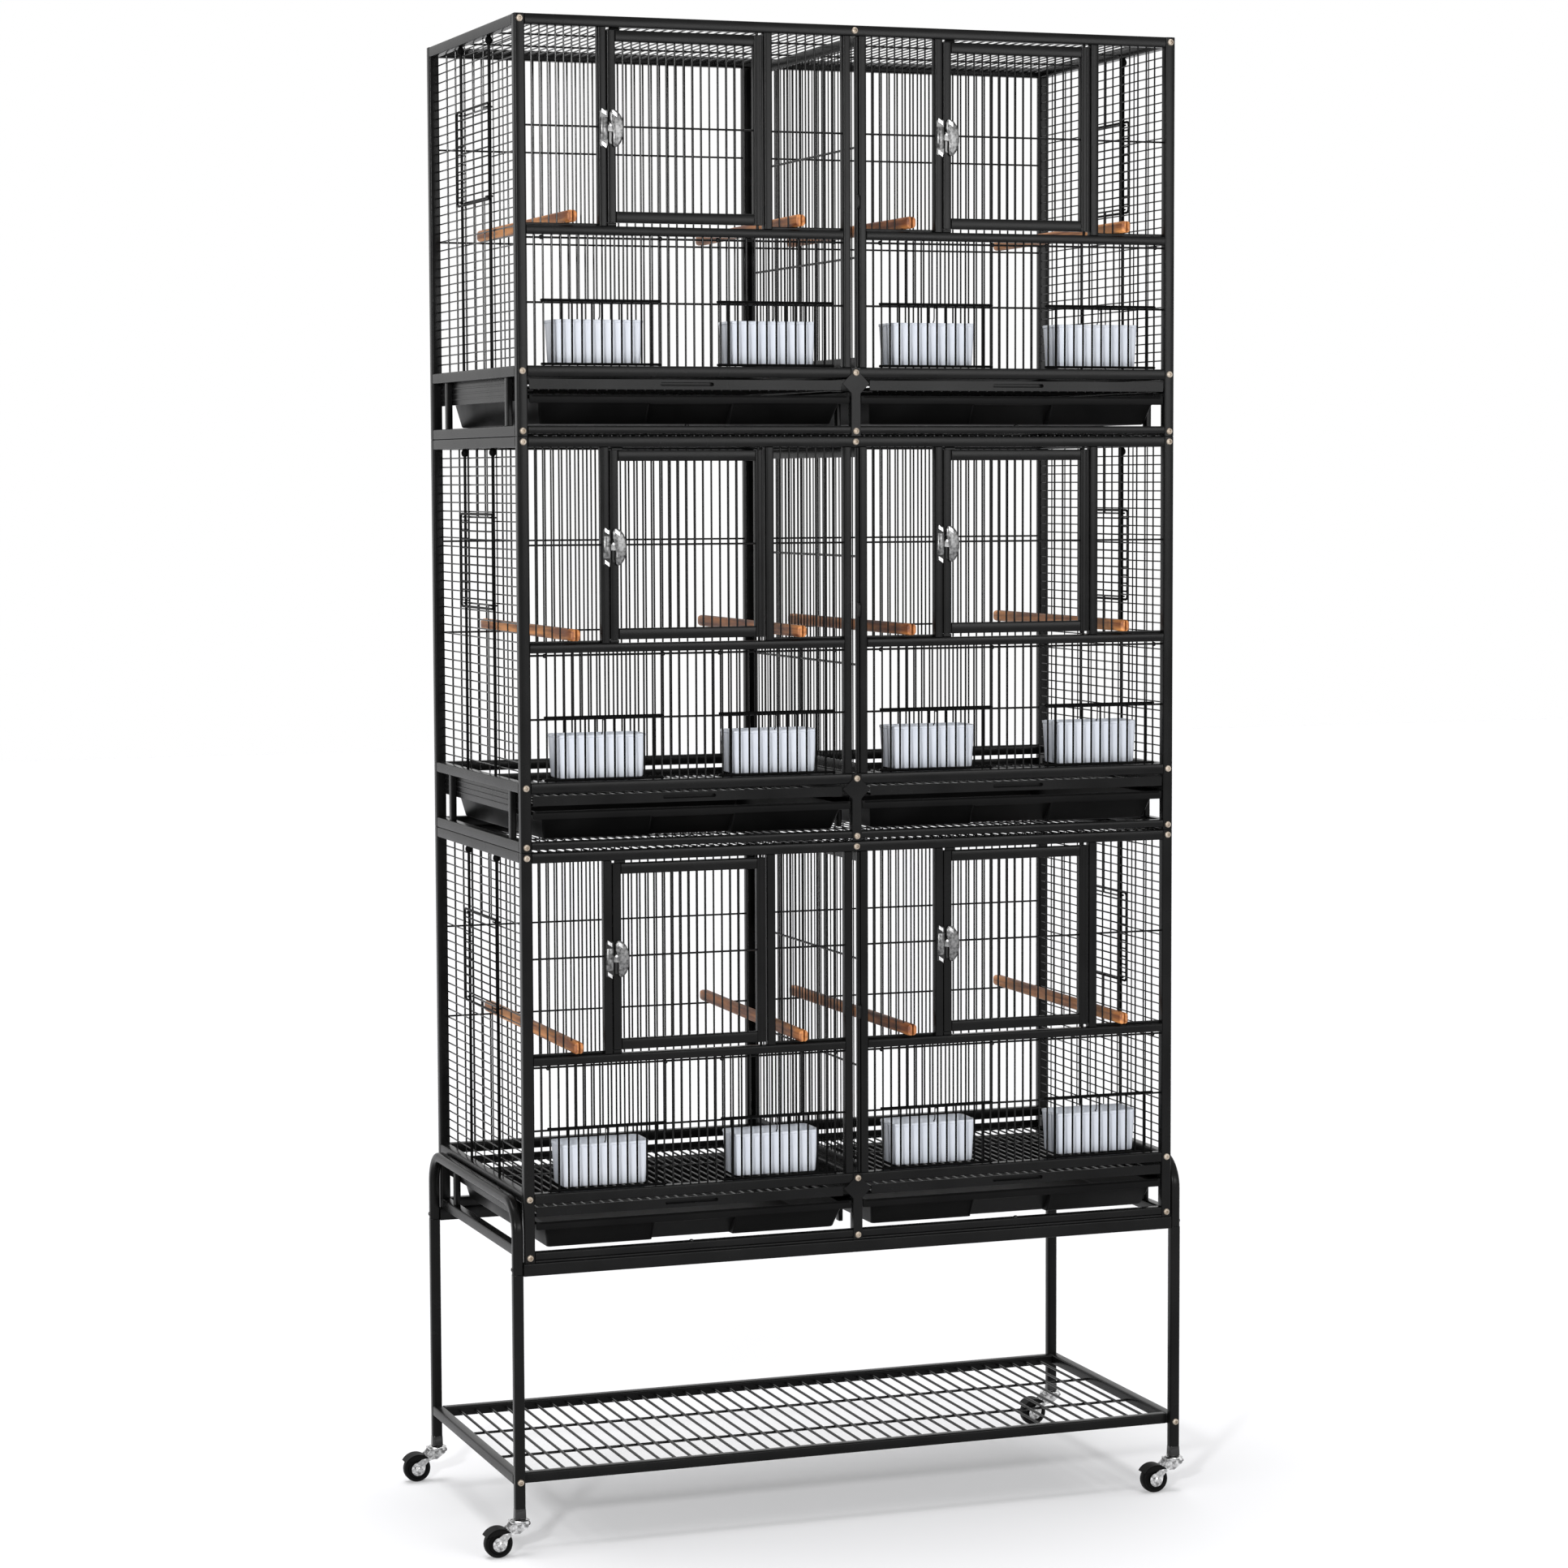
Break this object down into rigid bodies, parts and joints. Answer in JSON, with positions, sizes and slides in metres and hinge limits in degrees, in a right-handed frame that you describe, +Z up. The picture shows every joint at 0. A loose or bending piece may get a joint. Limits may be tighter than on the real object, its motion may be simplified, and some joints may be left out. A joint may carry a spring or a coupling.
{
  "type": "stacked breeding bird cage",
  "caption": "Stacked wire breeding cage on a rolling stand, with front doors, feeder doors, side nest doors, a pull-out divider, floor grilles and trays in every tier.",
  "frame": {"origin": "on the floor, in the middle of the outer box of the whole rack with its casters trailing to the left", "axes": "+X to the right seen from the front, +Y from the front doors to the back, +Z up"},
  "size_m": [1.014, 0.4583, 2.013],
  "materials": {
    "black_paint": "satin black powder coat",
    "chrome": "bright zinc or chrome plate",
    "white_plastic": "moulded white plastic",
    "perch_wood": "sanded bare wood",
    "tray_plastic": "moulded black plastic",
    "wheel_rubber": "black wheel"
  },
  "bodies": {
    "root": {"front_panels": "black_paint", "side_panels": "black_paint", "back_and_top_panels": "black_paint", "drawer_runners": "black_paint", "rolling_stand": "black_paint", "feed_cups": "white_plastic", "perches": "perch_wood"},
    "bottom_left_front_door": {"bottom_left_front_door": "black_paint"},
    "bottom_left_door_latch": {"bottom_left_door_latch": "chrome"},
    "bottom_left_nest_door": {"bottom_left_nest_door": "black_paint"},
    "bottom_left_floor_grille": {"bottom_left_floor_grille": "black_paint"},
    "bottom_left_tray": {"bottom_left_tray": "tray_plastic"},
    "bottom_feeder_door_1": {"bottom_feeder_door_1": "black_paint"},
    "bottom_feeder_door_2": {"bottom_feeder_door_2": "black_paint"},
    "bottom_right_front_door": {"bottom_right_front_door": "black_paint"},
    "bottom_right_door_latch": {"bottom_right_door_latch": "chrome"},
    "bottom_right_nest_door": {"bottom_right_nest_door": "black_paint"},
    "bottom_right_floor_grille": {"bottom_right_floor_grille": "black_paint"},
    "bottom_right_tray": {"bottom_right_tray": "tray_plastic"},
    "bottom_feeder_door_3": {"bottom_feeder_door_3": "black_paint"},
    "bottom_feeder_door_4": {"bottom_feeder_door_4": "black_paint"},
    "bottom_divider": {"bottom_divider": "black_paint"},
    "middle_left_front_door": {"middle_left_front_door": "black_paint"},
    "middle_left_door_latch": {"middle_left_door_latch": "chrome"},
    "middle_left_nest_door": {"middle_left_nest_door": "black_paint"},
    "middle_left_floor_grille": {"middle_left_floor_grille": "black_paint"},
    "middle_left_tray": {"middle_left_tray": "tray_plastic"},
    "middle_feeder_door_1": {"middle_feeder_door_1": "black_paint"},
    "middle_feeder_door_2": {"middle_feeder_door_2": "black_paint"},
    "middle_right_front_door": {"middle_right_front_door": "black_paint"},
    "middle_right_door_latch": {"middle_right_door_latch": "chrome"},
    "middle_right_nest_door": {"middle_right_nest_door": "black_paint"},
    "middle_right_floor_grille": {"middle_right_floor_grille": "black_paint"},
    "middle_right_tray": {"middle_right_tray": "tray_plastic"},
    "middle_feeder_door_3": {"middle_feeder_door_3": "black_paint"},
    "middle_feeder_door_4": {"middle_feeder_door_4": "black_paint"},
    "middle_divider": {"middle_divider": "black_paint"},
    "top_left_front_door": {"top_left_front_door": "black_paint"},
    "top_left_door_latch": {"top_left_door_latch": "chrome"},
    "top_left_nest_door": {"top_left_nest_door": "black_paint"},
    "top_left_floor_grille": {"top_left_floor_grille": "black_paint"},
    "top_left_tray": {"top_left_tray": "tray_plastic"},
    "top_feeder_door_1": {"top_feeder_door_1": "black_paint"},
    "top_feeder_door_2": {"top_feeder_door_2": "black_paint"},
    "top_right_front_door": {"top_right_front_door": "black_paint"},
    "top_right_door_latch": {"top_right_door_latch": "chrome"},
    "top_right_nest_door": {"top_right_nest_door": "black_paint"},
    "top_right_floor_grille": {"top_right_floor_grille": "black_paint"},
    "top_right_tray": {"top_right_tray": "tray_plastic"},
    "top_feeder_door_3": {"top_feeder_door_3": "black_paint"},
    "top_feeder_door_4": {"top_feeder_door_4": "black_paint"},
    "top_divider": {"top_divider": "black_paint"},
    "front_left_caster_fork": {"front_left_caster_fork": "chrome"},
    "front_left_caster_wheel": {"front_left_caster_wheel": "wheel_rubber"},
    "front_right_caster_fork": {"front_right_caster_fork": "chrome"},
    "front_right_caster_wheel": {"front_right_caster_wheel": "wheel_rubber"},
    "back_left_caster_fork": {"back_left_caster_fork": "chrome"},
    "back_left_caster_wheel": {"back_left_caster_wheel": "wheel_rubber"},
    "back_right_caster_fork": {"back_right_caster_fork": "chrome"},
    "back_right_caster_wheel": {"back_right_caster_wheel": "wheel_rubber"}
  },
  "joints": [
    {"name": "bottom_left_front_door_hinge", "type": "hinge", "parent": "root", "child": "bottom_left_front_door", "pos_m": [-0.118, -0.214, 0.6663], "axis": [0, 0, 1], "range_deg": [0, 110]},
    {"name": "bottom_left_door_latch_slide", "type": "slide", "parent": "bottom_left_front_door", "child": "bottom_left_door_latch", "axis": [1, 0, 0], "range_m": [0, 0.006]},
    {"name": "bottom_left_nest_door_slide", "type": "slide", "parent": "root", "child": "bottom_left_nest_door", "axis": [0, 0, 1], "range_m": [0, 0.075]},
    {"name": "bottom_left_floor_grille_slide", "type": "slide", "parent": "root", "child": "bottom_left_floor_grille", "axis": [0, -1, 0], "range_m": [0, 0.4]},
    {"name": "bottom_left_tray_slide", "type": "slide", "parent": "root", "child": "bottom_left_tray", "axis": [0, -1, 0], "range_m": [0, 0.4]},
    {"name": "bottom_feeder_door_1_slide", "type": "slide", "parent": "root", "child": "bottom_feeder_door_1", "axis": [0, 0, 1], "range_m": [0, 0.075]},
    {"name": "bottom_feeder_door_2_slide", "type": "slide", "parent": "root", "child": "bottom_feeder_door_2", "axis": [0, 0, 1], "range_m": [0, 0.075]},
    {"name": "bottom_right_front_door_hinge", "type": "hinge", "parent": "root", "child": "bottom_right_front_door", "pos_m": [0.3515, -0.214, 0.6663], "axis": [0, 0, 1], "range_deg": [0, 110]},
    {"name": "bottom_right_door_latch_slide", "type": "slide", "parent": "bottom_right_front_door", "child": "bottom_right_door_latch", "axis": [1, 0, 0], "range_m": [0, 0.006]},
    {"name": "bottom_right_nest_door_slide", "type": "slide", "parent": "root", "child": "bottom_right_nest_door", "axis": [0, 0, 1], "range_m": [0, 0.075]},
    {"name": "bottom_right_floor_grille_slide", "type": "slide", "parent": "root", "child": "bottom_right_floor_grille", "axis": [0, -1, 0], "range_m": [0, 0.4]},
    {"name": "bottom_right_tray_slide", "type": "slide", "parent": "root", "child": "bottom_right_tray", "axis": [0, -1, 0], "range_m": [0, 0.4]},
    {"name": "bottom_feeder_door_3_slide", "type": "slide", "parent": "root", "child": "bottom_feeder_door_3", "axis": [0, 0, 1], "range_m": [0, 0.075]},
    {"name": "bottom_feeder_door_4_slide", "type": "slide", "parent": "root", "child": "bottom_feeder_door_4", "axis": [0, 0, 1], "range_m": [0, 0.075]},
    {"name": "bottom_divider_slide", "type": "slide", "parent": "root", "child": "bottom_divider", "axis": [0, -1, 0], "range_m": [0, 0.4]},
    {"name": "middle_left_front_door_hinge", "type": "hinge", "parent": "root", "child": "middle_left_front_door", "pos_m": [-0.118, -0.214, 1.2073], "axis": [0, 0, 1], "range_deg": [0, 110]},
    {"name": "middle_left_door_latch_slide", "type": "slide", "parent": "middle_left_front_door", "child": "middle_left_door_latch", "axis": [1, 0, 0], "range_m": [0, 0.006]},
    {"name": "middle_left_nest_door_slide", "type": "slide", "parent": "root", "child": "middle_left_nest_door", "axis": [0, 0, 1], "range_m": [0, 0.075]},
    {"name": "middle_left_floor_grille_slide", "type": "slide", "parent": "root", "child": "middle_left_floor_grille", "axis": [0, -1, 0], "range_m": [0, 0.4]},
    {"name": "middle_left_tray_slide", "type": "slide", "parent": "root", "child": "middle_left_tray", "axis": [0, -1, 0], "range_m": [0, 0.4]},
    {"name": "middle_feeder_door_1_slide", "type": "slide", "parent": "root", "child": "middle_feeder_door_1", "axis": [0, 0, 1], "range_m": [0, 0.075]},
    {"name": "middle_feeder_door_2_slide", "type": "slide", "parent": "root", "child": "middle_feeder_door_2", "axis": [0, 0, 1], "range_m": [0, 0.075]},
    {"name": "middle_right_front_door_hinge", "type": "hinge", "parent": "root", "child": "middle_right_front_door", "pos_m": [0.3515, -0.214, 1.2073], "axis": [0, 0, 1], "range_deg": [0, 110]},
    {"name": "middle_right_door_latch_slide", "type": "slide", "parent": "middle_right_front_door", "child": "middle_right_door_latch", "axis": [1, 0, 0], "range_m": [0, 0.006]},
    {"name": "middle_right_nest_door_slide", "type": "slide", "parent": "root", "child": "middle_right_nest_door", "axis": [0, 0, 1], "range_m": [0, 0.075]},
    {"name": "middle_right_floor_grille_slide", "type": "slide", "parent": "root", "child": "middle_right_floor_grille", "axis": [0, -1, 0], "range_m": [0, 0.4]},
    {"name": "middle_right_tray_slide", "type": "slide", "parent": "root", "child": "middle_right_tray", "axis": [0, -1, 0], "range_m": [0, 0.4]},
    {"name": "middle_feeder_door_3_slide", "type": "slide", "parent": "root", "child": "middle_feeder_door_3", "axis": [0, 0, 1], "range_m": [0, 0.075]},
    {"name": "middle_feeder_door_4_slide", "type": "slide", "parent": "root", "child": "middle_feeder_door_4", "axis": [0, 0, 1], "range_m": [0, 0.075]},
    {"name": "middle_divider_slide", "type": "slide", "parent": "root", "child": "middle_divider", "axis": [0, -1, 0], "range_m": [0, 0.4]},
    {"name": "top_left_front_door_hinge", "type": "hinge", "parent": "root", "child": "top_left_front_door", "pos_m": [-0.118, -0.214, 1.7483], "axis": [0, 0, 1], "range_deg": [0, 110]},
    {"name": "top_left_door_latch_slide", "type": "slide", "parent": "top_left_front_door", "child": "top_left_door_latch", "axis": [1, 0, 0], "range_m": [0, 0.006]},
    {"name": "top_left_nest_door_slide", "type": "slide", "parent": "root", "child": "top_left_nest_door", "axis": [0, 0, 1], "range_m": [0, 0.075]},
    {"name": "top_left_floor_grille_slide", "type": "slide", "parent": "root", "child": "top_left_floor_grille", "axis": [0, -1, 0], "range_m": [0, 0.4]},
    {"name": "top_left_tray_slide", "type": "slide", "parent": "root", "child": "top_left_tray", "axis": [0, -1, 0], "range_m": [0, 0.4]},
    {"name": "top_feeder_door_1_slide", "type": "slide", "parent": "root", "child": "top_feeder_door_1", "axis": [0, 0, 1], "range_m": [0, 0.075]},
    {"name": "top_feeder_door_2_slide", "type": "slide", "parent": "root", "child": "top_feeder_door_2", "axis": [0, 0, 1], "range_m": [0, 0.075]},
    {"name": "top_right_front_door_hinge", "type": "hinge", "parent": "root", "child": "top_right_front_door", "pos_m": [0.3515, -0.214, 1.7483], "axis": [0, 0, 1], "range_deg": [0, 110]},
    {"name": "top_right_door_latch_slide", "type": "slide", "parent": "top_right_front_door", "child": "top_right_door_latch", "axis": [1, 0, 0], "range_m": [0, 0.006]},
    {"name": "top_right_nest_door_slide", "type": "slide", "parent": "root", "child": "top_right_nest_door", "axis": [0, 0, 1], "range_m": [0, 0.075]},
    {"name": "top_right_floor_grille_slide", "type": "slide", "parent": "root", "child": "top_right_floor_grille", "axis": [0, -1, 0], "range_m": [0, 0.4]},
    {"name": "top_right_tray_slide", "type": "slide", "parent": "root", "child": "top_right_tray", "axis": [0, -1, 0], "range_m": [0, 0.4]},
    {"name": "top_feeder_door_3_slide", "type": "slide", "parent": "root", "child": "top_feeder_door_3", "axis": [0, 0, 1], "range_m": [0, 0.075]},
    {"name": "top_feeder_door_4_slide", "type": "slide", "parent": "root", "child": "top_feeder_door_4", "axis": [0, 0, 1], "range_m": [0, 0.075]},
    {"name": "top_divider_slide", "type": "slide", "parent": "root", "child": "top_divider", "axis": [0, -1, 0], "range_m": [0, 0.4]},
    {"name": "front_left_caster_fork_swivel", "type": "hinge", "parent": "root", "child": "front_left_caster_fork", "pos_m": [-0.458, -0.212, 0.049], "axis": [0, 0, 1], "continuous": true},
    {"name": "front_left_caster_wheel_spin", "type": "hinge", "parent": "front_left_caster_fork", "child": "front_left_caster_wheel", "pos_m": [-0.488, -0.212, 0.019], "axis": [0, 1, 0], "continuous": true},
    {"name": "front_right_caster_fork_swivel", "type": "hinge", "parent": "root", "child": "front_right_caster_fork", "pos_m": [0.493, -0.212, 0.049], "axis": [0, 0, 1], "continuous": true},
    {"name": "front_right_caster_wheel_spin", "type": "hinge", "parent": "front_right_caster_fork", "child": "front_right_caster_wheel", "pos_m": [0.463, -0.212, 0.019], "axis": [0, 1, 0], "continuous": true},
    {"name": "back_left_caster_fork_swivel", "type": "hinge", "parent": "root", "child": "back_left_caster_fork", "pos_m": [-0.458, 0.212, 0.049], "axis": [0, 0, 1], "continuous": true},
    {"name": "back_left_caster_wheel_spin", "type": "hinge", "parent": "back_left_caster_fork", "child": "back_left_caster_wheel", "pos_m": [-0.488, 0.212, 0.019], "axis": [0, 1, 0], "continuous": true},
    {"name": "back_right_caster_fork_swivel", "type": "hinge", "parent": "root", "child": "back_right_caster_fork", "pos_m": [0.493, 0.212, 0.049], "axis": [0, 0, 1], "continuous": true},
    {"name": "back_right_caster_wheel_spin", "type": "hinge", "parent": "back_right_caster_fork", "child": "back_right_caster_wheel", "pos_m": [0.463, 0.212, 0.019], "axis": [0, 1, 0], "continuous": true}
  ]
}
